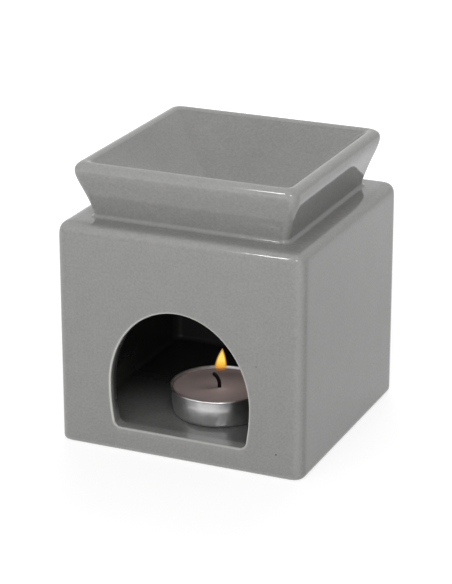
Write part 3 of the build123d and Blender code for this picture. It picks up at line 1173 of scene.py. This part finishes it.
foil = metal_finish("satin_foil", grey(0.9), grey(0.76), 150.0, 0.26, 0.14, 0.16)
tin = metal_finish("tinned_steel", grey(0.62), grey(0.5), 400.0, 0.3, 0.2, 0.25)
put_on(foil, cup)
put_on(tin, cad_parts["wick_sustainer"])

# %% [markdown]
# ## The wax's finish
# The wax is a dull mauve grey that light sinks into, so it gets some subsurface scattering. It is glossier
# where it has melted round the wick.

# %% Wax finish
WAX_LIGHT = (0.305, 0.25, 0.245, 1.0)
WAX_DARK = (0.26, 0.212, 0.208, 1.0)
POOL_RADIUS = 16 * MM

wax_finish, tree, shader, place = new_finish("mauve_wax")
colour = use_group(
    tree, mottle, place, Light=WAX_LIGHT, Dark=WAX_DARK,
    Cloud_Scale=120.0, Speck_Scale=900.0, Cloud_Share=0.6,
)
wire(tree, colour, shader.inputs["Base Color"])
melted = near_point(tree, place, TEALIGHT + Vector((0, 0, WAX_LEVEL)), POOL_RADIUS)
wire(tree, math_node(tree, "MULTIPLY_ADD", melted, -0.12, 0.45), shader.inputs["Roughness"])
shader.inputs["Subsurface Weight"].default_value = 0.3
shader.inputs["Subsurface Radius"].default_value = (1.0, 0.6, 0.5)
shader.inputs["Subsurface Scale"].default_value = 2 * MM
heights = use_group(tree, grain, place, Wave_Scale=160.0, Grain_Scale=1200.0, Grain_Share=0.2)
add_bump(tree, shader, heights, 0.15 * MM, 0.4)
put_on(wax_finish, wax)

# %% [markdown]
# ## The wick's finish
# Burnt cotton is soot black and dull, with a trace of brown. A strong, fine bump stands for its fibres.

# %% Wick finish
CHAR_LIGHT = (0.006, 0.005, 0.005, 1.0)
CHAR_DARK = (0.002, 0.002, 0.002, 1.0)

char, tree, shader, place = new_finish("charred_cotton")
colour = use_group(
    tree, mottle, place, Light=CHAR_LIGHT, Dark=CHAR_DARK,
    Cloud_Scale=900.0, Speck_Scale=4000.0, Cloud_Share=0.5,
)
wire(tree, colour, shader.inputs["Base Color"])
shader.inputs["Roughness"].default_value = 0.9
shader.inputs["Specular IOR Level"].default_value = 0.1
heights = use_group(tree, grain, place, Wave_Scale=1800.0, Grain_Scale=6000.0, Grain_Share=0.5)
add_bump(tree, shader, heights, 0.2 * MM, 0.8)
put_on(char, wick)

# %% [markdown]
# ## The flame's glow
# The flame's two shells only glow: orange in the skin, yellow in the core, and both fade out towards the
# wick. What the camera sees is the colour of the flame, while the light that it throws on the wax and the
# foil is stronger and whiter, because a photograph shows the flame itself darker than it is.

# %% Flame finish
FLAME_LIGHT = (14.0, 12.8, 11.6, 1.0)
SKIN_COLOURS = (
    (0.05, (0.25, 0.07, 0.01, 1)),
    (0.3, (1.0, 0.38, 0.03, 1)),
    (1.0, (1.0, 0.50, 0.07, 1)),
)
CORE_COLOURS = (
    (0.12, (0.42, 0.13, 0.02, 1)),
    (0.32, (1.0, 0.55, 0.05, 1)),
    (0.52, (1.0, 0.99, 0.20, 1)),
    (1.0, (1.0, 0.88, 0.14, 1)),
)


def seen_directly(tree):
    """A mask for what the camera sees directly, in gloss or through glass."""
    rays = tree.nodes.new("ShaderNodeLightPath").outputs
    seen = math_node(tree, "MAXIMUM", rays["Is Camera Ray"], rays["Is Glossy Ray"])
    return math_node(tree, "MAXIMUM", seen, rays["Is Transmission Ray"])


def ramp_node(tree, value, start, end, most):
    """A value that rises evenly from 0 at the start to the most at the end."""
    node = tree.nodes.new("ShaderNodeMapRange")
    node.inputs["From Min"].default_value = start
    node.inputs["From Max"].default_value = end
    node.inputs["To Max"].default_value = most
    wire(tree, value, node.inputs["Value"])
    return node.outputs["Result"]


def flame_finish(name, colours, clear_from, clear_to, most):
    """A glow whose colour runs up the flame, and which is clear at the bottom."""
    material, tree, shader, place = new_finish(name)
    axis = tree.nodes.new("ShaderNodeSeparateXYZ")
    wire(tree, place, axis.inputs[0])
    up = ramp_node(tree, axis.outputs["Z"], FLAME_BASE, FLAME_TIP, 1.0)
    ramp = tree.nodes.new("ShaderNodeValToRGB")
    marks = ramp.color_ramp.elements
    while len(marks) < len(colours):
        marks.new(0.5)
    for mark, (where, colour) in zip(marks, colours):
        mark.position = where
        mark.color = colour
    wire(tree, up, ramp.inputs["Fac"])
    glow = mix_colours(tree, seen_directly(tree), FLAME_LIGHT, ramp.outputs["Color"])
    wire(tree, glow, shader.inputs["Emission Color"])
    shader.inputs["Emission Strength"].default_value = 1.0
    shader.inputs["Base Color"].default_value = (0.0, 0.0, 0.0, 1.0)
    shader.inputs["Specular IOR Level"].default_value = 0.0
    wire(tree, ramp_node(tree, up, clear_from, clear_to, most), shader.inputs["Alpha"])
    return material


put_on(flame_finish("flame_orange", SKIN_COLOURS, 0.0, 0.22, 0.36), flame_skin)
put_on(flame_finish("flame_yellow", CORE_COLOURS, 0.06, 0.3, 1.0), flame_core)

# %% [markdown]
# ## Tie the pieces to the frame
# Each new piece rides on the body that carries it, so that the tealight can slide out of the arch and the
# candle can lift out of its cup. A piece that replaces a measured solid hides it.

# %% Ride and replace
for piece, body, node, slot in (
    (box, "burner", "burner_body", "grey_glaze"),
    (dish, "burner", "oil_dish", "grey_glaze"),
    (cup, "tealight", "tealight_cup", "cup_aluminium"),
    (wax, "candle", "tealight_wax", "candle_wax"),
    (wick, "candle", "tealight_wick", "charred_cotton"),
):
    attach(piece, body)
    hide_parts(node)
for piece in (flame_skin, flame_core):
    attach(piece, "candle")
print("riding:", [piece.name for piece in (box, dish, cup, wax, wick, flame_skin, flame_core)])

# %% [markdown]
# ## The floor
# The photograph is a product shot on white. A pale floor runs out past the frame. To the camera and in
# reflections it glows a little, more with distance, so that it is white like the background and still keeps
# the object's shadow.

# %% Floor
FLOOR_SIZE = 8.0
FLOOR_GLOW = 0.74
FAR_GLOW = 1.0
GLOW_FROM = 0.12
GLOW_TO = 0.4

bpy.ops.object.select_all(action="DESELECT")
bpy.ops.mesh.primitive_plane_add(size=FLOOR_SIZE, location=(0, 0, 0))
floor = bpy.context.object
floor.name = "pale_floor"
pale, tree, shader, place = new_finish("pale_floor")
shader.inputs["Roughness"].default_value = 1.0
shader.inputs["Specular IOR Level"].default_value = 0.0
seen = seen_directly(tree)
wire(tree, mix_colours(tree, seen, grey(0.7), grey(0.36)), shader.inputs["Base Color"])
shader.inputs["Emission Color"].default_value = (1, 1, 1, 1)
reach = tree.nodes.new("ShaderNodeVectorMath")
reach.operation = "LENGTH"
wire(tree, place, reach.inputs[0])
far_off = fade_node(tree, reach.outputs["Value"], GLOW_FROM, GLOW_TO)
glow = math_node(tree, "MULTIPLY_ADD", far_off, FAR_GLOW - FLOOR_GLOW, FLOOR_GLOW)
wire(tree, all_of(tree, seen, glow), shader.inputs["Emission Strength"])
put_on(pale, floor)

# %% [markdown]
# ## The white room
# The world is white to the camera and in reflections, but weaker as a light, so that the lamps give the
# object its shape. The Standard view shows each colour about as it is written.

# %% World
WORLD_LIGHT = 0.30

scene = bpy.context.scene
scene.view_settings.view_transform = "Standard"
world = bpy.data.worlds.new("white_room")
scene.world = world
world.use_nodes = True
tree = world.node_tree
background = tree.nodes["Background"]
background.inputs["Color"].default_value = (1, 1, 1, 1)
strength = math_node(tree, "MULTIPLY_ADD", seen_directly(tree), 1.0 - WORLD_LIGHT, WORLD_LIGHT)
wire(tree, strength, background.inputs["Strength"])
print("floor glow", FLOOR_GLOW, "world light", WORLD_LIGHT)

# %% [markdown]
# ## The lamps
# Two broad lamps, one in front and one behind, light the object evenly and aren't mirrored, because a large
# lamp in a glossy glaze hides its colour. A smaller key lamp at the right models the faces. A narrow strip at
# the left is there to be mirrored: it draws the thin bright lines along the front edges and the dots
# on the corners.

# %% Lamps
def add_lamp(name, azimuth, elevation, distance, size, power, mirrored):
    """Adds a rectangular lamp that faces the object."""
    towards = direction(radians(azimuth), radians(elevation))
    bpy.ops.object.light_add(
        type="AREA",
        location=AIM + distance * towards,
        rotation=towards.to_track_quat("Z", "Y").to_euler(),
    )
    lamp = bpy.context.object
    lamp.name = name
    lamp.data.shape = "RECTANGLE"
    lamp.data.size, lamp.data.size_y = size
    lamp.data.energy = power
    lamp.visible_camera = False
    lamp.visible_glossy = mirrored


add_lamp("soft_front", 6, 17, 1.3, (0.8, 0.8), 7.0, False)
add_lamp("soft_back", 195, 50, 1.3, (0.8, 0.8), 7.4, False)
add_lamp("key", 27, 45, 1.0, (0.26, 0.26), 2.3, True)
add_lamp("strip_left", -24.3, 44.7, 1.0, (0.04, 0.2), 0.64, True)
